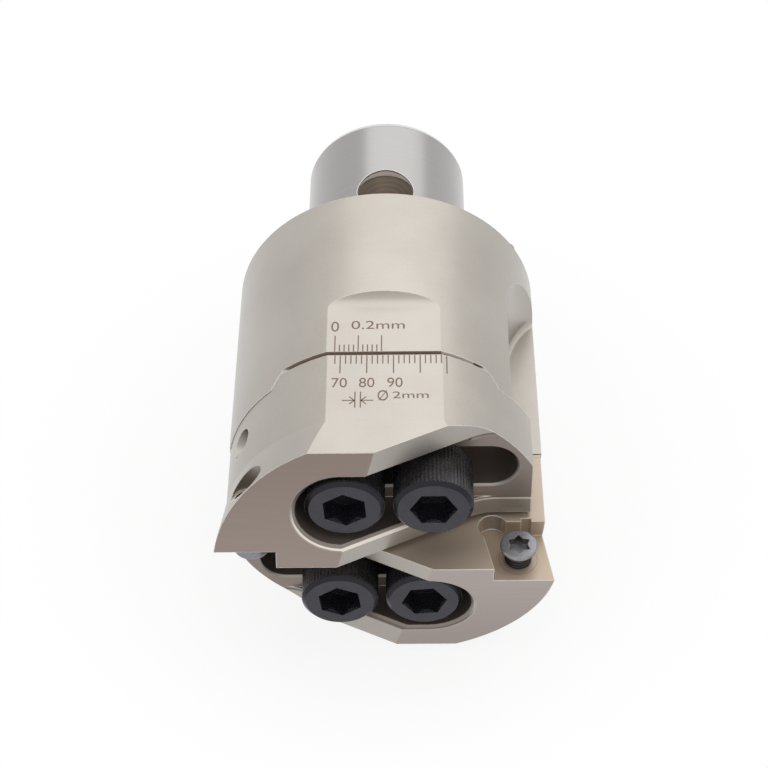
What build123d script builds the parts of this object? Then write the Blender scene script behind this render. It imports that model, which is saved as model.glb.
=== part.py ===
"""Twin-bit rough boring head with a modular spigot, two sliding insert holders and no inserts fitted.

Each piece is drawn upright: the tool axis is Z, the shoulder face is Z = 0, the spigot points to +Z
and the front scale flat faces -Y.  lay_down() then turns it to the bench pose, spigot to +Y and
front scale flat up.  The rear holder is the front holder turned half a turn about the axis.
"""
import os
from math import cos, radians, sin, sqrt, tan

from build123d import *

# Connection end
body_dia = 64.0
shoulder_chamfer = 0.5
spigot_dia = 36.0
spigot_length = 40.5
spigot_lead_length = 1.2
spigot_lead_angle = 20.0
cross_hole_dia = 12.5
cross_hole_height = 17.5
drive_pin_dia = 5.0
drive_pin_circle = 57.2
drive_pin_angle = -26.5
drive_pin_stand = 3.0
drive_pin_depth = 7.0
drive_pin_chamfer = 0.5

# Coupling pin and the screw that keeps it in the spigot
coupling_pin_length = 33.0
coupling_pin_float = 0.4
coupling_cone_dia = 12.0
coupling_cone_depth = 3.0
coupling_cone_floor = 4.0
retaining_screw_dia = 6.0
retaining_screw_recess = 1.0
retaining_dog_dia = 3.5
retaining_dog_length = 2.4
retaining_dog_engagement = 1.6
retaining_key = 3.0
retaining_key_depth = 2.0

# Guide between body and holders
lip_level = 44.8
guide_lip_wall = 4.9
guide_depth = 3.7
guide_flank_angle = 30.0
outer_lip_gap = 0.95
inner_lip_gap = 0.3
slide_clearance = 0.03

# Scale flats and chip gullets
flat_depth = 2.0
flat_top_level = 32.8
flat_runout_radius = 3.2
gullet_depth = 6.9
gullet_end_level = 21.3
gullet_end_radius = 20.0
gullet_corner_radius = 1.2

# Cutting reach and the insert that the pockets take
cutting_overhang = 2.0
cutting_length = 75.0
insert_edge = 12.9
insert_angle = 80.0
insert_tilt = 2.5
insert_thickness = 4.76
insert_stand = 0.3
insert_nose_back = 0.3

# Holders
holder_gap = 1.0
holder_shift = 0.25
holder_end_setback = 3.1
flare_level = 63.0
flare_angle = 9.0
relief_angle = 7.0
seat_level = 61.0
ramp_start = -9.5
ramp_angle = 25.5
ramp_blend = 12.0
pocket_relief_dia = 6.0
pocket_relief_inset_x = 2.7
pocket_relief_inset_z = 1.4
pocket_groove_width = 2.0
pocket_groove_depth = 0.8
pocket_groove_place = 6.7
seat_wall = 0.74
head_slot_chamfer = 0.9
shank_slot_chamfer = 0.4
slot_end_wall = 3.0

# Clamp screws
clamp_dia = 10.0
clamp_length = 30.0
clamp_head_dia = 15.2
clamp_head_height = 10.8
clamp_key = 8.0
clamp_key_depth = 5.2
clamp_edge_chamfer = 0.75
clamp_head_gap = 1.8
clamp_middle = 0.9
clamp_hole_spare = 3.0
clamp_turns = {"outer_a": -33.0, "inner_a": 0.0, "outer_b": -6.0, "inner_b": -36.0}
shank_room = 0.5
head_room = 1.3
end_room = 1.9
seat_clearance = 0.03

# Adjusting screws
adjusting_dia = 6.0
adjusting_recess = 2.2
adjusting_key = 3.0
adjusting_key_depth = 3.0
adjusting_contact_gap = 0.2

# Insert screws, left part way out as there is no insert under them
insert_screw_dia = 5.0
insert_screw_head_dia = 7.4
insert_screw_rim = 0.6
insert_screw_cone = 2.0
insert_screw_length = 12.4
insert_screw_stand = 4.7
insert_screw_pull = 0.2
insert_screw_thread_length = 9.0
insert_screw_relief_dia = 6.2
star_tip_dia = 4.9
star_root_dia = 3.4
star_depth = 1.9

# Fits and cutters
running_clearance = 0.04
seam_turn = 37.5
cut_margin = 30.0

body_radius = body_dia / 2
spigot_radius = spigot_dia / 2
land_level = lip_level + guide_depth
inner_face = holder_gap / 2
reach = cutting_length - insert_stand
flat_distance = body_radius - flat_depth
gullet_wall = body_radius - gullet_depth
head_slot_width = clamp_head_dia + 2 * head_room
shank_slot_width = clamp_dia + 2 * shank_room
guide_offset = insert_thickness + seat_wall + head_slot_width / 2
guide_root_width = 2 * (flat_distance - guide_lip_wall - guide_offset)
clamp_spacing = clamp_head_dia + clamp_head_gap
outer_screw_x = clamp_middle - clamp_spacing / 2
inner_screw_x = clamp_middle + clamp_spacing / 2
holder_inner_end = body_radius - holder_end_setback
travel = holder_inner_end - slot_end_wall - shank_slot_width / 2 - inner_screw_x
web_level = (land_level + seat_level) / 2
far = body_radius + cut_margin
insert_lean = 90.0 - insert_angle + insert_tilt
insert_rise = insert_edge * cos(radians(insert_lean))
insert_span = insert_edge + insert_edge * sin(radians(insert_lean))
insert_corner_x = -(body_radius + cutting_overhang + insert_nose_back)
insert_corner_level = cutting_length + insert_nose_back
ledge_level = insert_corner_level - insert_rise
pocket_corner_x = insert_corner_x + insert_span
insert_screw_x = insert_corner_x + insert_span / 2 + insert_screw_pull
insert_screw_level = insert_corner_level - insert_rise / 2 - insert_screw_pull
half_turn = Rot(0, 0, 180)


def round_bar(radius, bottom, top):
    """Upright round bar between two heights."""
    return Pos(0, 0, bottom) * Cylinder(radius, top - bottom, align=(Align.CENTER, Align.CENTER, Align.MIN))


def turned(points):
    """Body of revolution about Z from (radius, height) points."""
    return revolve(Plane.XZ * make_face(Polyline(*points, close=True)), Axis.Z)


def along_x(points):
    """Prism along X, longer than the head, from (y, z) points."""
    return extrude(Plane.YZ * make_face(Polyline(*points, close=True)), amount=far, both=True)


def hex_socket(key, depth):
    """Six-sided key recess that opens downwards at Z = 0."""
    return extrude(RegularPolygon(key / 2, 6, major_radius=False), amount=depth)


def guide_bar(clearance):
    """Tapered guide tongue along X, at the front of the body."""
    grow = clearance / cos(radians(guide_flank_angle))
    root = guide_root_width / 2 + grow
    tip = root - (guide_depth + clearance) * tan(radians(guide_flank_angle))
    land = -(land_level + clearance)
    points = [(-root, -lip_level), (root, -lip_level), (tip, land), (-tip, land)]
    return along_x([(y - guide_offset, z) for y, z in points])


def flat_cutter():
    """Milling cut of the front scale flat, with its round run-out at the top."""
    depth = far - flat_distance
    slab = Pos(0, -(flat_distance + depth / 2), -(flat_top_level + far / 2)) * Box(2 * far, depth, far)
    runout = Pos(0, -(flat_distance + flat_runout_radius), -flat_top_level) * Rot(0, 90, 0)
    return slab + runout * Cylinder(flat_runout_radius, 2 * far)


def gullet_cutter():
    """Chip gullet on the right, ahead of the rear holder's pocket."""
    middle = gullet_wall + gullet_end_radius
    lane = Pos(middle, -(gullet_end_level + far / 2)) * Rectangle(2 * gullet_end_radius, far)
    outline = lane + Pos(middle, -gullet_end_level) * Circle(gullet_end_radius)
    cut = extrude(Plane.XZ.offset(-inner_face) * outline, amount=far)
    return fillet(cut.edges().group_by(Axis.Y)[-1], gullet_corner_radius)


def make_body():
    """Head body with spigot, guide tongues, scale flats and gullets."""
    lead_in = spigot_lead_length * tan(radians(spigot_lead_angle))
    # the seam of the round faces is turned clear of the flats and of the cross hole
    body = Rot(0, 0, seam_turn) * turned([
        (0, -lip_level),
        (body_radius, -lip_level),
        (body_radius, -shoulder_chamfer),
        (body_radius - shoulder_chamfer, 0),
        (spigot_radius, 0),
        (spigot_radius, spigot_length - spigot_lead_length),
        (spigot_radius - lead_in, spigot_length),
        (0, spigot_length),
    ])
    tongue = guide_bar(0) & round_bar(body_radius, -land_level, 0)
    body += [tongue, half_turn * tongue]
    flat, gullet = flat_cutter(), gullet_cutter()
    body -= [flat, half_turn * flat, gullet, half_turn * gullet]
    body -= Pos(0, 0, cross_hole_height) * Rot(90, 0, 0) * Cylinder(cross_hole_dia / 2, spigot_dia)
    body -= round_bar(retaining_screw_dia / 2 + running_clearance, cross_hole_height, spigot_length)
    body -= drive_pin_place() * round_bar(drive_pin_dia / 2 + running_clearance, -drive_pin_depth, 0)
    hole_top = clamp_length - seat_level + clamp_hole_spare
    tapped = round_bar(clamp_dia / 2 + running_clearance, -land_level, hole_top)
    for x in (outer_screw_x, inner_screw_x):
        hole = Pos(x, -guide_offset, 0) * tapped
        body -= [hole, half_turn * hole]
    return body


def drive_pin_place():
    return Rot(0, 0, drive_pin_angle) * Pos(drive_pin_circle / 2, 0, 0)


def make_drive_pin():
    """Pin that stands out of the shoulder and takes the torque."""
    pin = round_bar(drive_pin_dia / 2, -drive_pin_depth, drive_pin_stand)
    return drive_pin_place() * chamfer(pin.edges().group_by(Axis.Z)[-1], drive_pin_chamfer)


def make_coupling_pin():
    """Floating cross pin with a coned seat at each end and a notch for the retaining dog.

    It lies at the low end of its float, towards the rear, as it drops there on the bench.
    """
    half, radius = coupling_pin_length / 2, cross_hole_dia / 2 - running_clearance
    pin = round_bar(radius, -half, half)
    cone = Pos(0, 0, half - coupling_cone_depth / 2) * Cone(
        coupling_cone_floor / 2, coupling_cone_dia / 2, coupling_cone_depth)
    pin -= [cone, Rot(180, 0, 0) * cone]
    notch_length = retaining_dog_dia + 2 * running_clearance + coupling_pin_float
    notch_depth = retaining_dog_engagement + running_clearance
    pin -= Pos(0, radius - notch_depth / 2, 0) * Box(2 * radius, notch_depth, notch_length)
    return Pos(0, coupling_pin_float / 2, cross_hole_height) * Rot(90, 0, 0) * pin


def make_retaining_screw():
    """Dog-point set screw down the middle of the spigot."""
    tip = cross_hole_height + cross_hole_dia / 2 - running_clearance - retaining_dog_engagement
    shoulder = tip + retaining_dog_length
    top = spigot_length - retaining_screw_recess
    screw = round_bar(retaining_screw_dia / 2, shoulder, top) + round_bar(retaining_dog_dia / 2, tip, shoulder)
    return screw - Pos(0, 0, top) * Rot(180, 0, 0) * hex_socket(retaining_key, retaining_key_depth)


def slot(left, right, width, bottom, top):
    """Upright slot with round ends over the clamp screw line; left and right are the end centres."""
    outline = Pos((left + right) / 2, -guide_offset) * SlotCenterToCenter(right - left, width)
    return extrude(Plane.XY.offset(bottom) * outline, amount=top - bottom)


def edge_cutter(plane, outline, size):
    """45 degree edge break around an outline that was grown by size, on a plane that faces the material.

    The cutter runs on as far again, so its end lies in the open slot.
    """
    return extrude(plane * outline, amount=2 * size, taper=45)


def slot_edge_cutters(head_left, shank_right):
    """Edge breaks of the head slot on the relief face and on the ramp, and of the shank slot on its seat."""
    size, lean, slope = head_slot_chamfer, radians(relief_angle), radians(ramp_angle)
    mouth = head_slot_width + 2 * size
    face_z = (guide_offset - inner_face) * tan(lean) - reach
    face = Plane((0, -guide_offset, face_z), x_dir=(1, 0, 0), z_dir=(0, sin(lean), cos(lean)))
    head_mouth = Pos((head_left + far) / 2, 0) * SlotCenterToCenter(far - head_left, mouth)
    ramp = Plane(
        (ramp_start, -guide_offset, -reach),
        x_dir=(cos(slope), 0, sin(slope)), z_dir=(-sin(slope), 0, cos(slope)))
    ramp_end = (reach - seat_level) / sin(slope) - ramp_blend * tan(slope / 2)
    ramp_mouth = Pos((ramp_end - cut_margin) / 2, 0) * Rectangle(ramp_end + cut_margin, mouth)
    seat = Plane((0, -guide_offset, -seat_level), x_dir=(1, 0, 0), z_dir=(0, 0, 1))
    shank_mouth = Pos((outer_screw_x + shank_right) / 2, 0) * SlotCenterToCenter(
        shank_right - outer_screw_x, shank_slot_width + 2 * shank_slot_chamfer)
    return [
        edge_cutter(face, head_mouth, size),
        edge_cutter(ramp, ramp_mouth, size),
        edge_cutter(seat, shank_mouth, shank_slot_chamfer),
    ]


def ramp_cutter():
    """Sloped relief on the inner end of the front holder, down to the level of the screw seats."""
    slope = tan(radians(ramp_angle))
    low = -(reach + cut_margin)
    start_x = ramp_start - cut_margin / slope
    corner_x = ramp_start + (reach - seat_level) / slope
    path = FilletPolyline((start_x, low), (corner_x, -seat_level), (far, -seat_level), radius=ramp_blend)
    closing = Polyline((far, -seat_level), (far, low), (start_x, low))
    return extrude(Plane.XZ * make_face(path + closing), amount=far)


def pocket_cutter():
    """Insert seat at the outer end of the front holder, with corner relief and a groove in its ledge."""
    depth = insert_thickness - inner_face
    low = -(reach + cut_margin)
    wall_x = pocket_corner_x - (cut_margin + reach - ledge_level) * tan(radians(insert_lean))
    seat = make_face(Polyline(
        (pocket_corner_x, -ledge_level), (-far, -ledge_level), (-far, low), (wall_x, low), close=True))
    relief_x = pocket_corner_x - pocket_relief_inset_x
    relief_place = Pos(relief_x, -(ledge_level + pocket_relief_inset_z))
    seat += relief_place * Circle(pocket_relief_dia / 2)
    seat += Pos(relief_x - pocket_groove_place, -ledge_level) * Rectangle(pocket_groove_width, 2 * pocket_groove_depth)
    return extrude(Plane.XZ.offset(insert_thickness) * seat, amount=-depth - inner_face)


def make_holder():
    """Front insert holder."""
    flare_radius = body_radius + (reach - flare_level) * tan(radians(flare_angle))
    top = -(lip_level + inner_lip_gap)
    blank = turned([
        (0, top),
        (body_radius, top),
        (body_radius, -flare_level),
        (flare_radius, -reach),
        (0, -reach),
    ])
    half_width = far - inner_face
    half_block = Pos(holder_inner_end - far, -(inner_face + half_width / 2), 0) * Box(2 * far, half_width, 4 * far)
    holder = Pos(holder_shift, 0, 0) * blank & half_block
    lip = -(lip_level + outer_lip_gap)
    holder -= along_x([(-guide_offset, lip), (-guide_offset, 0), (-far, 0), (-far, lip)])
    holder -= guide_bar(slide_clearance)
    holder -= flat_cutter()
    rise = half_width * tan(radians(relief_angle))
    low = -(reach + cut_margin)
    holder -= along_x([(-inner_face, -reach), (-inner_face, low), (-far, low), (-far, rise - reach)])
    holder -= ramp_cutter()
    head_left = outer_screw_x - clamp_head_dia / 2 - end_room + head_slot_width / 2
    shank_right = inner_screw_x + travel
    holder -= slot(head_left, far, head_slot_width, low, -seat_level)
    holder -= slot(outer_screw_x, shank_right, shank_slot_width, -seat_level, top)
    holder -= slot_edge_cutters(head_left, shank_right)
    bore = Rot(0, 90, 0) * round_bar(adjusting_dia / 2 + running_clearance, -far, outer_screw_x)
    holder -= Pos(0, -guide_offset, -web_level) * bore
    holder -= pocket_cutter()
    thread_end = insert_thickness + insert_screw_thread_length
    thread = round_bar(insert_screw_dia / 2 + running_clearance, insert_thickness, thread_end)
    clearing = round_bar(insert_screw_relief_dia / 2, thread_end, far)
    return holder - insert_screw_place() * (thread + clearing)


def insert_screw_place():
    """Axis of the front holder's insert screw; its +Z runs from the axis plane into the holder."""
    return Pos(insert_screw_x, 0, -insert_screw_level) * Rot(90, 0, 0)


def make_insert_screw():
    """Countersunk insert screw with a six-pointed socket."""
    face = insert_thickness - insert_screw_stand
    rim, neck = face + insert_screw_rim, face + insert_screw_rim + insert_screw_cone
    head, shank = insert_screw_head_dia / 2, insert_screw_dia / 2
    end = face + insert_screw_length
    screw = turned([
        (0, face),
        (head - insert_screw_rim / 2, face),
        (head, face + insert_screw_rim / 2),
        (head, rim),
        (shank, neck),
        (shank, end),
        (0, end),
    ])
    corners = [(star_tip_dia / 2 if i % 2 else star_root_dia / 2, i * 30) for i in range(12)]
    star = make_face(Polyline(*[(r * cos(radians(a)), r * sin(radians(a))) for r, a in corners], close=True))
    socket = extrude(Plane.XY.offset(face) * star, amount=star_depth)
    return insert_screw_place() * (screw - socket)


def make_clamp_screw(x, turn):
    """Socket head cap screw, head down, in the front holder's slot, left at some turn of its key socket."""
    seat = -(seat_level + seat_clearance)
    face = seat - clamp_head_height
    head = round_bar(clamp_head_dia / 2, face, seat)
    head = chamfer(head.edges().group_by(Axis.Z)[0], clamp_edge_chamfer)
    screw = head + round_bar(clamp_dia / 2, seat, seat + clamp_length)
    screw -= Pos(0, 0, face) * hex_socket(clamp_key, clamp_key_depth)
    return Pos(x, -guide_offset, 0) * Rot(0, 0, turn) * screw


def make_adjusting_screw():
    """Set screw in the front holder's web, bearing on the outer clamp screw."""
    outer_end = holder_shift - sqrt(body_radius**2 - guide_offset**2)
    tip = outer_screw_x - clamp_dia / 2 - adjusting_contact_gap
    length = tip - outer_end - adjusting_recess
    screw = round_bar(adjusting_dia / 2, 0, length)
    screw -= hex_socket(adjusting_key, adjusting_key_depth)
    return Pos(tip - length, -guide_offset, -web_level) * Rot(0, 90, 0) * screw


def lay_down(piece):
    """Turn an upright piece to the bench pose."""
    return Rot(-90, 0, 0) * piece


front = {
    "insert_holder": make_holder(),
    "adjusting_screw": make_adjusting_screw(),
    "insert_screw": make_insert_screw(),
}
pieces = {
    "head_body": make_body(),
    "drive_pin": make_drive_pin(),
    "coupling_pin": make_coupling_pin(),
    "pin_retaining_screw": make_retaining_screw(),
}
for name, piece in front.items():
    pieces[name + "_a"] = piece
    pieces[name + "_b"] = half_turn * piece
for name, turn in clamp_turns.items():
    screw = make_clamp_screw(outer_screw_x if name.startswith("outer") else inner_screw_x, turn)
    pieces["clamp_screw_" + name] = half_turn * screw if name.endswith("_b") else screw

os.makedirs("parts", exist_ok=True)
for name, piece in pieces.items():
    export_step(lay_down(piece), os.path.join("parts", name + ".step"))
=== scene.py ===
import math

import bpy
from mathutils import Matrix, Vector


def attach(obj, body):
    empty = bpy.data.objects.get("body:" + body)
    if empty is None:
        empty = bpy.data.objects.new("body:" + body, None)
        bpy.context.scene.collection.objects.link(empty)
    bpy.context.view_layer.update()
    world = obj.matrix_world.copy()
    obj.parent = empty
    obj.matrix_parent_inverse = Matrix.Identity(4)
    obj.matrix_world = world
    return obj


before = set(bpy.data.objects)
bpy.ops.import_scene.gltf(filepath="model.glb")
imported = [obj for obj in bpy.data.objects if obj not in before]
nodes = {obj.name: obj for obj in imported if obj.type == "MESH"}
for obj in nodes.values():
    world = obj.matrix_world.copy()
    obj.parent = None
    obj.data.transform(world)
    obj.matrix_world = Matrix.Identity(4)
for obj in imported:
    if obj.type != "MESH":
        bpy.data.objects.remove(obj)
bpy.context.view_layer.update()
mm = 0.001
halfTurn = Matrix.Rotation(math.pi, 4, "Y")
sides = {"a": Matrix.Identity(4), "b": halfTurn}  # the rear is the front turned half a turn
print("frame loaded:", len(nodes), "nodes")


def deselectAll():
    if bpy.context.mode != "OBJECT":
        bpy.ops.object.mode_set(mode="OBJECT")
    bpy.ops.object.select_all(action="DESELECT")


def useOnly(obj):
    deselectAll()
    obj.select_set(True)
    bpy.context.view_layer.objects.active = obj
    return obj


def settle(obj):  # place and size go into the mesh, the object stays at the origin
    useOnly(obj)
    bpy.ops.object.transform_apply(location=True, rotation=True, scale=True)
    return obj


def applied(obj, kind, **values):  # add one modifier and apply it
    useOnly(obj)
    modifier = obj.modifiers.new(kind.lower(), kind)
    for key, value in values.items():
        setattr(modifier, key, value)
    bpy.ops.object.modifier_apply(modifier=modifier.name)
    return obj


def joined(parts, name):
    deselectAll()
    for part in parts:
        part.select_set(True)
    bpy.context.view_layer.objects.active = parts[0]
    bpy.ops.object.join()
    made = bpy.context.view_layer.objects.active
    made.name = made.data.name = name
    return made


def copied(obj, name, move):
    twin = obj.copy()
    twin.data = obj.data.copy()
    twin.name = twin.data.name = name
    bpy.context.scene.collection.objects.link(twin)
    twin.data.transform(move)
    return twin


def painted(obj, material):
    obj.data.materials.clear()
    obj.data.materials.append(material)
    return obj


class Sock:
    def __init__(self, graph, out):
        self.graph, self.out = graph, out

    def math(self, kind, *others):
        return self.graph.node("Math", {"operation": kind}, dict(enumerate((self,) + others)))

    def __add__(self, other): return self.math("ADD", other)
    def __radd__(self, other): return self.math("ADD", other)
    def __sub__(self, other): return self.math("SUBTRACT", other)
    def __rsub__(self, other): return (self * -1).math("ADD", other)
    def __mul__(self, other): return self.math("MULTIPLY", other)
    def __rmul__(self, other): return self.math("MULTIPLY", other)
    def __gt__(self, other): return self.math("GREATER_THAN", other)
    def __lt__(self, other): return self.math("LESS_THAN", other)
    def __abs__(self): return self.math("ABSOLUTE")


def apart(across, along):  # distance, from two offsets at right angles
    return (across * across + along * along).math("SQRT")


def towards(value, share, goal):  # value where share is 0, goal where it is 1
    return value * (1 - share) + share * goal


def wander(pattern, amount):  # a noise pattern swings about its middle
    return (pattern - 0.5) * amount


class Graph:
    def __init__(self, tree):
        self.tree = tree

    def node(self, kind, settings=None, inputs=None, out=0):
        made = self.tree.nodes.new("ShaderNode" + kind)
        for key, value in (settings or {}).items():
            setattr(made, key, value)
        for key, value in (inputs or {}).items():
            self.feed(made.inputs[key], value)
        return Sock(self, made.outputs[out])

    def feed(self, socket, value):
        if isinstance(value, Sock):
            self.tree.links.new(value.out, socket)
        elif isinstance(value, tuple) and socket.type == "RGBA":
            socket.default_value = (*value, 1)
        else:
            socket.default_value = value

    def seenRays(self):  # 1 for what the camera sees, straight, mirrored or through glass
        kinds = ("Is Camera Ray", "Is Glossy Ray", "Is Transmission Ray")
        straight, mirrored, through = (self.node("LightPath", out=kind) for kind in kinds)
        return straight.math("MAXIMUM", mirrored).math("MAXIMUM", through)


edgeWearAndHighlight = {"samples": 6, "from": 0.02, "to": 0.22}  # how far a normal turns on an edge that is worn and given a painted highlight


class Paint(Graph):
    def __init__(self, name):
        self.material = bpy.data.materials.new(name)
        self.material.use_nodes = True
        super().__init__(self.material.node_tree)
        self.shader = self.tree.nodes["Principled BSDF"]

    def place(self):  # object coordinates in millimetres
        spot = self.node("TexCoord", out="Object")
        first = self.node("SeparateXYZ", inputs={0: spot})
        return [Sock(self, out) * (1 / mm) for out in first.out.node.outputs]

    def noise(self, place, spec):  # the scale is for each millimetre along x, y and z
        scaled = [along * scale for along, scale in zip(place, spec["scale"])]
        spot = self.node("CombineXYZ", inputs=dict(enumerate(scaled)))
        return self.node("TexNoise", inputs={
            "Vector": spot, "Scale": 1.0, "Detail": spec["detail"], "Roughness": spec["rough"]})

    def ramp(self, value, low, high):  # 0 below low, 1 above high
        return self.node("MapRange", {"interpolation_type": "SMOOTHSTEP"},
                         {"Value": value, "From Min": low, "From Max": high})

    def mix(self, share, first, second):
        return self.node("Mix", {"data_type": "RGBA"}, {0: share, 6: first, 7: second}, out=2)

    def edge(self, radius):  # rounded normal, and a mask that is 1 on edges, worn bright and given a painted highlight
        rounded = self.node("Bevel", {"samples": edgeWearAndHighlight["samples"]}, {"Radius": radius * mm})
        plain = self.node("NewGeometry", out="Normal")
        likeness = self.node(
            "VectorMath", {"operation": "DOT_PRODUCT"}, {0: rounded, 1: plain}, out="Value")
        return rounded, self.ramp(1 - likeness, edgeWearAndHighlight["from"], edgeWearAndHighlight["to"])

    def bump(self, height, spec, normal):
        return self.node("Bump", inputs={
            "Strength": spec["strength"], "Distance": spec["depth"] * mm,
            "Height": height, "Normal": normal})

    def finish(self, colour, rough, metal, normal=None):
        self.feed(self.shader.inputs["Base Color"], colour)
        self.feed(self.shader.inputs["Roughness"], rough)
        self.feed(self.shader.inputs["Metallic"], metal)
        if normal is not None:
            self.feed(self.shader.inputs["Normal"], normal)
        return self.material


# satin nickel of the body and the holders
nickel = {
    "light": (0.434, 0.402, 0.360), "dark": (0.386, 0.354, 0.316), "edge": (0.95, 0.92, 0.86),
    "rings": {"scale": (0.05, 9.0, 0.05), "detail": 4.0, "rough": 0.5},  # turning marks
    "grain": {"scale": (2.6, 2.6, 2.6), "detail": 6.0, "rough": 0.65},
    "cloud": {"scale": (0.05, 0.05, 0.05), "detail": 3.0, "rough": 0.5},
    "cloudShare": 0.6, "mottle": (0.36, 0.64),
    "rough": 0.46, "grainRough": 0.14, "ringRough": 0.08, "metal": 0.88,
    "film": 0.7, "filmRough": 0.25,  # thin oil film, brightest at the rims
    "edgeRadius": 0.32, "edgeShare": 0.95,
    "grainHeight": 0.6, "ringHeight": 0.5, "bump": {"strength": 0.08, "depth": 0.04},
}
# ground spigot of the body, with the lead at its end painted lighter as a highlight and painted
# shade lines at the lead's two edges
ground = {
    "light": (0.325, 0.313, 0.305), "dark": (0.297, 0.287, 0.281), "start": 0.3,
    "rings": {"scale": (0.1, 30.0, 0.1), "detail": 3.0, "rough": 0.5}, "contrast": (0.35, 0.65),
    "rough": 0.29, "ringRough": 0.08,
    "lead": 39.25, "leadLength": 1.2, "leadHighlight": (0.64, 0.635, 0.63),
    "rim": 0.14, "endRim": 1.05, "rimShade": (0.25, 0.25, 0.255),
}
# the cross hole's wall is painted near white, as light falling on it
crossHole = {"height": 17.5, "radius": 6.4, "inside": 17.6,
             "wall": (0.95, 0.89, 0.80), "rough": 0.4, "metal": 0.0}
# the two lips of the gap between body and holder
seam = {"body": -44.8, "holder": -45.75, "skin": 0.07, "colour": (0.42, 0.33, 0.26),
        "metal": 0.15, "bright": (0.97, 0.95, 0.91), "brightFrom": 11.2, "brightTo": 17.5}


def bodyPlaces(paint, x, y, z, colour, rough, metal):
    out = x * z.math("SIGN")
    lip = (abs(y - seam["body"]) < seam["skin"]) * (out < seam["brightTo"])
    bright = out > seam["brightFrom"]  # right of each flat the edge catches the light
    colour = paint.mix(lip, colour, paint.mix(bright, seam["colour"], seam["bright"]))
    metal = towards(metal, lip, seam["metal"])

    spigot = y > ground["start"]
    rings = paint.noise((x, y, z), ground["rings"])
    shade = paint.mix(paint.ramp(rings, *ground["contrast"]), ground["dark"], ground["light"])
    colour = paint.mix(spigot, colour, shade)
    along = y - ground["lead"]
    lead = (along > 0) * (along < ground["leadLength"])
    # painted shade lines at both edges of the lead
    rim = (abs(along) < ground["rim"]) + lead * (along > ground["endRim"])
    colour = paint.mix(rim, paint.mix(lead, colour, ground["leadHighlight"]), ground["rimShade"])
    rough = towards(rough, spigot, wander(rings, ground["ringRough"]) + ground["rough"])

    bore = apart(x, y - crossHole["height"]) < crossHole["radius"]
    drilled = bore * (apart(x, z) < crossHole["inside"])
    # painted light on the cross hole's wall
    colour = paint.mix(drilled, colour, crossHole["wall"])
    metal = towards(metal, drilled, crossHole["metal"])
    return colour, towards(rough, drilled, crossHole["rough"]), metal


# faces of a holder: leaning relief face, inner face, and the insert's pocket with its screw
holder = {
    "tip": -74.7, "reliefSlope": math.tan(math.radians(7.0)), "innerFace": 0.5, "skin": 0.12,
    "screwX": -26.254, "screwY": -68.803,
    "seatFace": 4.76, "seatSkin": 0.05, "ledge": -62.706, "ledgeReach": 1.0,
    "corner": -18.608, "wallSlope": math.tan(math.radians(12.5)),
    "spotRadius": 3.8, "spotWidth": 0.08, "spotLine": (0.33, 0.285, 0.22),
}
# tan of the milled pocket; the inner faces get part of it as a painted tint of the shade under
# the other holder
milledAndShadeTint = {"colour": (0.50, 0.395, 0.295), "metal": 0.45, "rough": 0.5, "innerShare": 0.74}
# painted shade on the relief faces: darker than the nickel and darker outward from the axis, with
# the front holder's painted darker than the rear one's
reliefShades = {
    "front": {"near": (0.314, 0.249, 0.219), "far": (0.262, 0.202, 0.174)},
    "rear": {"near": (0.405, 0.345, 0.318), "far": (0.325, 0.265, 0.24)},
    "lines": {"scale": (0.05, 0.0, 5.0), "detail": 3.0, "rough": 0.5}, "lineShift": 18.0,
    "reach": 30.0,
}
# the step in the exit hole is painted light as a highlight
reliefHole = {"radius": 3.3, "from": 12.0, "wall": (0.34, 0.29, 0.24), "metal": 0.4,
              "step": 13.76, "stepColour": (0.72, 0.67, 0.58)}
# browned walls of the two slots, and the lip of the wider one, with painted highlight on its side
# towards the axis and painted shade further out
slotWall = {"height": 14.4, "colour": (0.25, 0.205, 0.175), "metal": 0.7,
            "highlitLip": (0.86, 0.80, 0.70), "shadedLip": (0.15, 0.118, 0.095),
            "lipFrom": 10.0, "lipTo": 21.0}
headSlot = {"left": -8.2, "right": 40.0, "radius": 9.35, "mouth": 9.85, "top": -60.9}
shankSlot = {"left": -7.6, "right": 20.4, "radius": 5.56, "mouth": 5.56, "top": -46.5}


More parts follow.
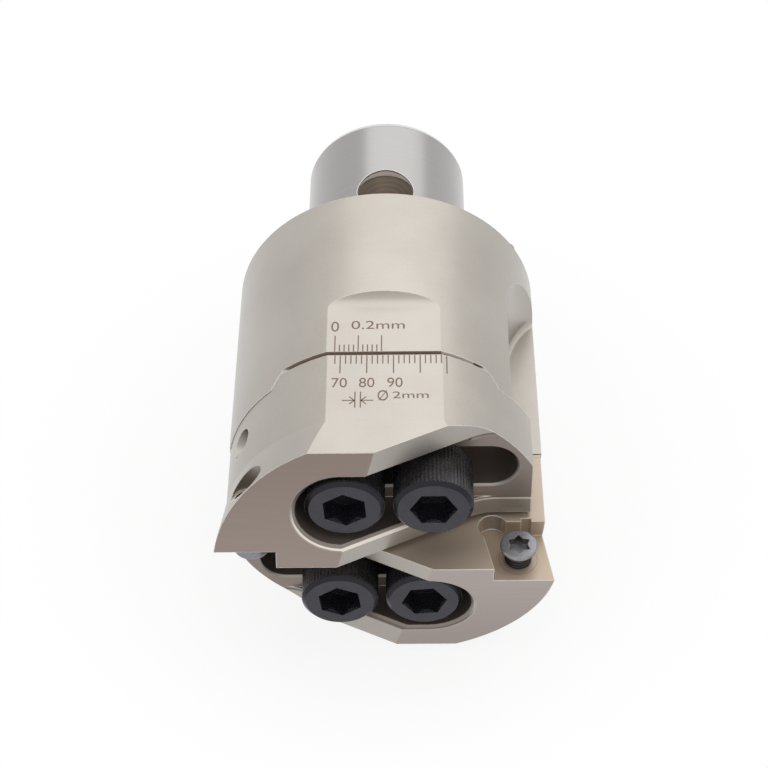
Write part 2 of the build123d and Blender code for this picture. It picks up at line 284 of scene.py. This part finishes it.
def holderPlaces(paint, x, y, z, colour, rough, metal):
    out, high = x * z.math("SIGN"), abs(z)  # both holders read as the front one
    lean = (high - holder["innerFace"]) * holder["reliefSlope"]
    reliefFace = (y - holder["tip"] - lean) < holder["skin"]
    lines = paint.noise((x, y, z), reliefShades["lines"])  # milling lines along the relief face
    # painted shade that deepens outward, its edge wavering with the milling lines
    outwardShade = paint.ramp(high + wander(lines, reliefShades["lineShift"]), 0.0, reliefShades["reach"])
    front, rear = (paint.mix(outwardShade, reliefShades[which]["near"], reliefShades[which]["far"])
                   for which in ("front", "rear"))
    # the rear holder's relief is painted lighter than the front holder's
    colour = paint.mix(reliefFace, colour, paint.mix(z > 0, rear, front))

    wall = holder["corner"] + (y - holder["ledge"]) * holder["wallSlope"]
    pocket = (out - wall < holder["skin"]) * (y < holder["ledge"] + holder["ledgeReach"])
    pocket = pocket * (high < holder["seatFace"] + holder["seatSkin"])
    innerFace = high < holder["innerFace"] + holder["skin"]
    # milled pocket, and painted shade tint on the inner face
    milledAndShaded = pocket.math("MAXIMUM", innerFace * milledAndShadeTint["innerShare"]) * (1 - reliefFace)
    colour = paint.mix(milledAndShaded, colour, milledAndShadeTint["colour"])
    metal = towards(metal, milledAndShaded, milledAndShadeTint["metal"])
    rough = towards(rough, milledAndShaded, milledAndShadeTint["rough"])

    lip = abs(y - seam["holder"]) < seam["skin"]
    colour = paint.mix(lip, colour, seam["colour"])
    metal = towards(metal, lip, seam["metal"])

    away = apart(out - holder["screwX"], y - holder["screwY"])
    drilled = (away < reliefHole["radius"]) * (high > reliefHole["from"])
    colour = paint.mix(drilled, colour, reliefHole["wall"])
    metal = towards(metal, drilled, reliefHole["metal"])
    # painted highlight on the step in the exit hole
    step = drilled * (abs(high - reliefHole["step"]) < holder["skin"])
    colour = paint.mix(step, colour, reliefHole["stepColour"])

    # painted highlight on the lip near the axis, turning to painted shade further out
    shadedLip = paint.ramp(high, slotWall["lipFrom"], slotWall["lipTo"])
    lipHighlightAndShade = paint.mix(shadedLip, slotWall["highlitLip"], slotWall["shadedLip"])
    for slot in (headSlot, shankSlot):
        middle, half = (slot["left"] + slot["right"]) / 2, (slot["right"] - slot["left"]) / 2
        past = (abs(out - middle) - half).math("MAXIMUM", 0)  # beyond the slot's straight run
        fromRun = apart(past, high - slotWall["height"])
        mouth = (fromRun < slot["mouth"]) * (y < slot["top"]) * (1 - reliefFace)
        shade = paint.mix(fromRun < slot["radius"], lipHighlightAndShade, slotWall["colour"])
        colour = paint.mix(mouth, colour, shade)
        metal = towards(metal, mouth, slotWall["metal"])

    spotLine = (abs(away - holder["spotRadius"]) < holder["spotWidth"]) * pocket
    return paint.mix(spotLine, colour, holder["spotLine"]), rough, metal


def nickelSteel(name, places):
    paint = Paint(name)
    place = paint.place()
    rings, grain, cloud = (paint.noise(place, nickel[key]) for key in ("rings", "grain", "cloud"))
    mottle = cloud * nickel["cloudShare"] + grain * (1 - nickel["cloudShare"])
    colour = paint.mix(paint.ramp(mottle, *nickel["mottle"]), nickel["dark"], nickel["light"])
    rough = wander(grain, nickel["grainRough"]) + wander(rings, nickel["ringRough"])
    colour, rough, metal = places(
        paint, *place, colour, rough + nickel["rough"], nickel["metal"])
    rounded, wornAndHighlighted = paint.edge(nickel["edgeRadius"])
    # edges worn bright, with painted highlight
    colour = paint.mix(wornAndHighlighted * nickel["edgeShare"], colour, nickel["edge"])
    paint.feed(paint.shader.inputs["Coat Weight"], nickel["film"])
    paint.feed(paint.shader.inputs["Coat Roughness"], nickel["filmRough"])
    height = grain * nickel["grainHeight"] + rings * nickel["ringHeight"]
    return paint.finish(colour, rough, metal, paint.bump(height, nickel["bump"], rounded))


painted(nodes["head_body"], nickelSteel("bodyNickel", bodyPlaces))
holderNickel = nickelSteel("holderNickel", holderPlaces)
for side in sides:
    painted(nodes["insert_holder_" + side], holderNickel)
print("nickel done")


# black oxide of the clamp, adjusting and retaining screws
clamp = {"outer": -7.6, "inner": 9.4, "height": 14.4}  # where the clamp screws stand
oxide = {
    "deep": (0.010, 0.010, 0.015), "pale": (0.019, 0.019, 0.027), "sheen": (0.93, 0.91, 1.0),
    "grain": {"scale": (3.0, 3.0, 3.0), "detail": 5.0, "rough": 0.6},
    "blot": {"scale": (0.35, 0.35, 0.35), "detail": 3.0, "rough": 0.5},
    "blotShare": 0.5, "mottle": (0.38, 0.62), "rough": 0.27, "grainRough": 0.2,
    "edge": (0.20, 0.20, 0.21), "edgeRadius": 0.1, "edgeShare": 0.4,
    "bump": {"strength": 0.1, "depth": 0.05},
}
# painted highlight crescents at the mouth of each socket, and painted shade on the rim of each
# head
socketHighlight = {"face": -71.83, "skin": 0.03, "mouth": 4.4, "slope": 2.6, "deepest": 2.0,
              "colour": (0.33, 0.33, 0.34), "metal": 0.9}
headRimShade = {"from": 6.8, "to": 7.62, "deepest": 0.78, "colour": (0.030, 0.030, 0.036)}


def blackOxide(name, shades):
    paint = Paint(name)
    place = x, y, z = paint.place()
    grain, blot = (paint.noise(place, oxide[key]) for key in ("grain", "blot"))
    mottle = grain * (1 - oxide["blotShare"]) + blot * oxide["blotShare"]
    colour = paint.mix(paint.ramp(mottle, *oxide["mottle"]), shades["deep"], shades["pale"])
    rounded, wornAndHighlighted = paint.edge(oxide["edgeRadius"])
    # edges worn pale, with painted highlight
    colour = paint.mix(wornAndHighlighted * oxide["edgeShare"], colour, oxide["edge"])
    out, metal = x * z.math("SIGN"), 0.0
    depth = y - socketHighlight["face"]
    below = depth > socketHighlight["skin"]
    for screw in (clamp["outer"], clamp["inner"]):
        away = apart(out - screw, abs(z) - clamp["height"])
        # painted highlight crescent just inside the socket's mouth
        crescent = below * (depth < (socketHighlight["mouth"] - away) * socketHighlight["slope"])
        crescent = crescent * (depth < socketHighlight["deepest"])
        colour = paint.mix(crescent, colour, socketHighlight["colour"])
        # painted shade on the chamfer rim of the head
        rim = (away > headRimShade["from"]) * (away < headRimShade["to"])
        rim = rim * below * (depth < headRimShade["deepest"])
        colour = paint.mix(rim * (1 - wornAndHighlighted), colour, headRimShade["colour"])
        metal = metal + crescent * socketHighlight["metal"] + rim
    paint.feed(paint.shader.inputs["Specular Tint"], oxide["sheen"])
    rough = wander(grain, oxide["grainRough"]) + oxide["rough"]
    return paint.finish(colour, rough, metal, paint.bump(grain, oxide["bump"], rounded))


oxideSteel = blackOxide("blackOxide", oxide)
for side in sides:
    for which in ("clamp_screw_outer_", "clamp_screw_inner_", "adjusting_screw_"):
        painted(nodes[which + side], oxideSteel)
painted(nodes["pin_retaining_screw"], oxideSteel)


# burnished steel of the insert screws and the drive pin
burnish = {
    "dark": (0.24, 0.24, 0.255), "light": (0.31, 0.31, 0.33), "metal": 0.85,
    "grain": {"scale": (2.5, 2.5, 2.5), "detail": 5.0, "rough": 0.6}, "mottle": (0.36, 0.64),
    "rough": 0.34, "grainRough": 0.2,
    "edge": (0.60, 0.60, 0.62), "edgeRadius": 0.12, "edgeShare": 0.6,
    "bump": {"strength": 0.06, "depth": 0.03},
    "socket": 2.5, "mouth": 0.25, "socketFloor": 1.85, "socketShade": (0.15, 0.145, 0.14),
    "neck": 2.7, "neckShade": (0.05, 0.048, 0.05), "screwEnd": -60.0,
}


def burnishedSteel(name):
    paint = Paint(name)
    place = x, y, z = paint.place()
    grain = paint.noise(place, burnish["grain"])
    colour = paint.mix(paint.ramp(grain, *burnish["mottle"]), burnish["dark"], burnish["light"])
    rounded, wornAndHighlighted = paint.edge(burnish["edgeRadius"])
    # edges worn bright, with painted highlight
    colour = paint.mix(wornAndHighlighted * burnish["edgeShare"], colour, burnish["edge"])
    out, high = x * z.math("SIGN"), abs(z)  # the neck and the socket walls get painted shade
    insertScrew = y < burnish["screwEnd"]
    away = apart(out - holder["screwX"], y - holder["screwY"])
    socketShade = (away < burnish["socket"]) * (high > burnish["mouth"])
    socketShade = socketShade * (high < burnish["socketFloor"])
    colour = paint.mix(socketShade * insertScrew, colour, burnish["socketShade"])
    colour = paint.mix((high > burnish["neck"]) * insertScrew, colour, burnish["neckShade"])
    rough = wander(grain, burnish["grainRough"]) + burnish["rough"]
    normal = paint.bump(grain, burnish["bump"], rounded)
    return paint.finish(colour, rough, burnish["metal"], normal)


insertScrewSteel = burnishedSteel("insertScrewSteel")
for side in sides:
    painted(nodes["insert_screw_" + side], insertScrewSteel)
painted(nodes["drive_pin"], insertScrewSteel)


# dark brown coupling pin with turned rings in its coned ends
pin = {
    "dark": (0.085, 0.062, 0.046), "light": (0.15, 0.117, 0.09), "metal": 0.85,
    "rings": {"scale": (5.0, 0.0, 0.0), "detail": 2.0, "rough": 0.5}, "contrast": (0.35, 0.65),
    "rough": 0.34, "ringRough": 0.2, "edgeRadius": 0.12, "edgeShare": 0.4,
    "bump": {"strength": 0.2, "depth": 0.05},
}


def turnedPin(name):
    paint = Paint(name)
    x, y, z = paint.place()
    away = apart(x, y - crossHole["height"])
    rings = paint.noise((away, y, z), pin["rings"])
    colour = paint.mix(paint.ramp(rings, *pin["contrast"]), pin["dark"], pin["light"])
    rounded, wornAndHighlighted = paint.edge(pin["edgeRadius"])
    # edges worn bright, with painted highlight
    colour = paint.mix(wornAndHighlighted * pin["edgeShare"], colour, burnish["edge"])
    rough = wander(rings, pin["ringRough"]) + pin["rough"]
    return paint.finish(colour, rough, pin["metal"], paint.bump(rings, pin["bump"], rounded))


painted(nodes["coupling_pin"], turnedPin("couplingPinSteel"))
print("screw and pin finishes done")


# straight knurl round the clamp screw heads
knurl = {"ridges": 62, "valley": 7.61, "crest": 7.72, "from": -61.35, "to": -70.95, "wall": 0.3,
         "deep": (0.018, 0.017, 0.018), "pale": (0.040, 0.038, 0.039)}


def makeKnurl():
    deselectAll()
    bpy.ops.mesh.primitive_cylinder_add(
        vertices=2 * knurl["ridges"], radius=knurl["crest"] * mm,
        depth=(knurl["from"] - knurl["to"]) * mm, end_fill_type="NOTHING")
    ring = bpy.context.object
    bpy.ops.object.mode_set(mode="EDIT")
    bpy.ops.mesh.select_mode(type="VERT")
    bpy.ops.mesh.select_all(action="DESELECT")
    bpy.ops.object.mode_set(mode="OBJECT")
    for vert in ring.data.vertices:  # every other line of the tube becomes a valley
        line = round(math.atan2(vert.co.y, vert.co.x) * knurl["ridges"] / math.pi)
        vert.select = line % 2 == 0
    bpy.ops.object.mode_set(mode="EDIT")
    shrink = knurl["valley"] / knurl["crest"]
    bpy.ops.transform.resize(value=(shrink, shrink, 1), center_override=(0, 0, 0))
    bpy.ops.object.mode_set(mode="OBJECT")
    applied(ring, "SOLIDIFY", thickness=knurl["wall"] * mm, offset=-1)
    ring.rotation_euler = (math.pi / 2, 0, 0)
    ring.location = (0, (knurl["from"] + knurl["to"]) / 2 * mm, 0)
    return settle(ring)


knurlRing = makeKnurl()
# the knurl's oxide is painted lighter than the heads' oxide, as light on the knurl in shade
knurlOxide = blackOxide("knurlOxide", knurl)
for side, turn in sides.items():
    for which in ("outer", "inner"):
        spot = turn @ Matrix.Translation((clamp[which] * mm, 0, clamp["height"] * mm))
        band = painted(copied(knurlRing, f"knurl_{which}_{side}", spot), knurlOxide)
        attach(band, f"clamp_{which}_{side}")
bpy.data.objects.remove(knurlRing)
print("knurls done")


# engraved diameter scale on both flats, part on the body and part on the holder
scale = {
    "flat": 30.0, "proud": 0.012, "line": 0.24, "longEvery": 5,
    "radius": 32.0, "holderShift": 0.25, "flatHalf": 11.3,  # the round beside the flat
    "dark": (0.17, 0.115, 0.08), "light": (0.25, 0.175, 0.13), "rough": 0.65, "metal": 0.2,
    "grain": {"scale": (4.0, 4.0, 4.0), "detail": 3.0, "rough": 0.5},
}
index = {  # words with their place, width and height
    "start": -9.5, "pitch": 0.91, "count": 11, "firstLong": 0,
    "edge": -44.75, "short": -42.9, "long": -40.4,
    "words": (("0", -9.55, -37.9, 1.55, 2.75), ("0.2mm", -1.1, -37.5, 10.5, 2.25)),
}
diameters = {
    "start": -9.4, "pitch": 1.03, "count": 22, "firstLong": 1,
    "edge": -45.85, "short": -48.1, "long": -50.6,
    "words": (("70", -8.45, -53.1, 2.95, 2.5), ("80", -3.2, -53.1, 2.95, 2.5),
              ("90", 2.2, -53.1, 2.95, 2.5), ("Ø", -0.1, -56.5, 2.0, 2.7),
              ("2mm", 5.2, -56.4, 6.85, 1.75)),
}
gapSymbol = {"y": -57.75, "bars": (-5.4, -4.35), "top": -55.5, "bottom": -59.6,
             "tail": 2.45, "head": 0.95, "tipGap": 0.12}


def etchedMark(name):
    paint = Paint(name)
    grain = paint.noise(paint.place(), scale["grain"])
    colour = paint.mix(grain, scale["dark"], scale["light"])
    return paint.finish(colour, scale["rough"], scale["metal"])


def stroke(x0, y0, x1, y1):  # straight engraved line, on the flat or on the round beside it
    height, lean, side = scale["flat"], 0.0, x0 - scale["holderShift"]
    if side > scale["flatHalf"]:
        height = math.sqrt(scale["radius"] ** 2 - side ** 2)
        lean = -math.asin(side / scale["radius"])
    middle = ((x0 + x1) / 2 * mm, (y0 + y1) / 2 * mm, height * mm)
    deselectAll()
    bpy.ops.mesh.primitive_cube_add(size=1, location=middle)
    bar = bpy.context.object
    length = math.hypot(x1 - x0, y1 - y0)
    bar.scale = (length * mm, scale["line"] * mm, 2 * scale["proud"] * mm)
    bar.rotation_euler = (lean, 0, math.atan2(y1 - y0, x1 - x0))
    return settle(bar)


def lettering(words, x, y, width, height):  # fitted to its width and height
    deselectAll()
    bpy.ops.object.text_add()
    text = bpy.context.object
    text.data.body = words
    text.data.align_x = text.data.align_y = "CENTER"
    bpy.ops.object.convert(target="MESH")
    made = bpy.context.object
    applied(made, "SOLIDIFY", thickness=2 * scale["proud"] * mm, offset=0)
    corners = [Vector(corner) for corner in made.bound_box]
    low = Vector([min(c[i] for c in corners) for i in range(3)])
    high = Vector([max(c[i] for c in corners) for i in range(3)])
    span, middle = high - low, (high + low) / 2
    fit = Matrix.Diagonal((width * mm / span.x, height * mm / span.y, 1, 1))
    made.data.transform(fit @ Matrix.Translation((-middle.x, -middle.y, 0)))
    made.location = (x * mm, y * mm, scale["flat"] * mm)
    return settle(made)


def divisions(row):  # its lines, then its words
    marks = []
    for i in range(row["count"]):
        x = row["start"] + i * row["pitch"]
        longLine = i % scale["longEvery"] == row["firstLong"]
        marks.append(stroke(x, row["edge"], x, row["long"] if longLine else row["short"]))
    return marks + [lettering(*word) for word in row["words"]]


def gapMarks():  # two bars with an arrow from each side
    marks, y = [], gapSymbol["y"]
    for x in gapSymbol["bars"]:
        marks.append(stroke(x, gapSymbol["top"], x, gapSymbol["bottom"]))
    for x, way in zip(gapSymbol["bars"], (-1, 1)):
        tip, tail = x + way * gapSymbol["tipGap"], x + way * gapSymbol["tail"]
        barb = tip + way * gapSymbol["head"]
        marks.append(stroke(tip, y, tail, y))
        for lean in (-1, 1):
            marks.append(stroke(tip, y, barb, y + lean * gapSymbol["head"]))
    return marks


etched = etchedMark("etchedMark")
indexMarks = joined(divisions(index), "indexMarks_a")
ringMarks = joined(divisions(diameters) + gapMarks(), "ringMarks_a")
for made, bodies in ((indexMarks, {"a": "head", "b": "head"}),
                     (ringMarks, {"a": "holder_a", "b": "holder_b"})):
    rear = copied(made, made.name.replace("_a", "_b"), sides["b"])
    for mark, side in ((made, "a"), (rear, "b")):
        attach(painted(mark, etched), bodies[side])
print("scale done")


# thread on the bare neck of each insert screw, and in the hole where its end shows
neckThread = {"root": 2.45, "crest": 2.72, "from": 2.75, "to": 4.65}
holeThread = {"root": 2.6, "crest": 2.3, "from": 12.6, "to": 13.6}
coil = {"pitch": 0.8, "flank": 0.36, "steps": 40}


def makeCoil(thread):
    deselectAll()
    bpy.ops.mesh.primitive_circle_add(vertices=3)
    ridge = bpy.context.object
    flank = coil["flank"]
    profile = ((thread["root"], -flank), (thread["crest"], 0.0), (thread["root"], flank))
    for vert, (radius, along) in zip(ridge.data.vertices, profile):
        vert.co = (radius * mm, 0, along * mm)
    length = thread["to"] - thread["from"]
    turns = length / coil["pitch"]
    steps = int(coil["steps"] * turns)
    applied(ridge, "SCREW", angle=2 * math.pi * turns, screw_offset=length * mm,
            steps=steps, render_steps=steps)
    ridge.location = (holder["screwX"] * mm, holder["screwY"] * mm, thread["from"] * mm)
    return settle(ridge)


for name, thread, carrier in (("neckThread", neckThread, "insert_screw_"),
                              ("holeThread", holeThread, "holder_")):
    first = makeCoil(thread)
    for side, turn in sides.items():
        ridge = painted(copied(first, f"{name}_{side}", turn), insertScrewSteel)
        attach(ridge, carrier + side)
    bpy.data.objects.remove(first)
print("threads done")


# white floor that keeps the shadow, and is fully white away from the object
floorSet = {"height": -32.2, "size": 6.0, "paper": (0.95, 0.95, 0.945), "rough": 0.9,
            "glow": 0.86, "middle": -18.0, "near": 50.0, "far": 95.0}
deselectAll()
bpy.ops.mesh.primitive_plane_add(size=floorSet["size"], location=(0, 0, floorSet["height"] * mm))
floor = bpy.context.object
floor.name = "floor"
paper = Paint("floorPaper")
paper.finish(floorSet["paper"], floorSet["rough"], 0.0)
glow = paper.node("Emission", inputs={"Color": (1, 1, 1), "Strength": 1.0})
x, y, z = paper.place()
away = paper.ramp(apart(x, y - floorSet["middle"]), floorSet["near"], floorSet["far"])
share = away * (1 - floorSet["glow"]) + floorSet["glow"]
blended = paper.node("MixShader", inputs={
    0: paper.seenRays() * share, 1: Sock(paper, paper.shader.outputs[0]), 2: glow})
paper.feed(paper.tree.nodes["Material Output"].inputs["Surface"], blended)
painted(floor, paper.material)


# white surroundings: full white where seen, dimmer as a light
roomLevel = 0.65
world = bpy.data.worlds.new("studio")
bpy.context.scene.world = world
world.use_nodes = True
room = Graph(world.node_tree)
backdrop = world.node_tree.nodes["Background"]
room.feed(backdrop.inputs["Color"], (1, 1, 1))
room.feed(backdrop.inputs["Strength"], room.seenRays() * (1 - roomLevel) + roomLevel)

# one wide softbox overhead, towards the spigot end, mirrored by the flat
softbox = {"at": (0.055, 0.26, 0.585), "aim": (0, -0.02, 0), "width": 0.74, "depth": 1.22,
           "watts": 2.56}
deselectAll()
bpy.ops.object.light_add(type="AREA", location=softbox["at"])
lamp = bpy.context.object
lamp.name = "softbox"
lamp.data.shape = "RECTANGLE"
lamp.data.size, lamp.data.size_y = softbox["width"], softbox["depth"]
lamp.data.energy = softbox["watts"]
beam = Vector(softbox["aim"]) - Vector(softbox["at"])
lamp.rotation_euler = beam.to_track_quat("-Z", "Y").to_euler()

# camera as solved from the photograph, its place in millimetres
cameraSet = {"lens": 89.06, "sensor": 36.0, "clip": (0.01, 50), "at": (5.03, -303.0, 293.46),
             "forward": (-0.01354, 0.6875, -0.7261), "up": (0.0081, 0.7262, 0.6874)}
bpy.ops.object.camera_add()
camera = bpy.context.object
camera.name = "photoCamera"
camera.data.lens, camera.data.sensor_width = cameraSet["lens"], cameraSet["sensor"]
camera.data.clip_start, camera.data.clip_end = cameraSet["clip"]
back = -Vector(cameraSet["forward"]).normalized()
right = Vector(cameraSet["up"]).cross(back).normalized()
turn = Matrix((right, back.cross(right), back)).transposed().to_4x4()
camera.matrix_world = Matrix.Translation(Vector(cameraSet["at"]) * mm) @ turn
bpy.context.scene.camera = camera
bpy.context.scene.view_settings.view_transform = "Standard"
print("studio done")
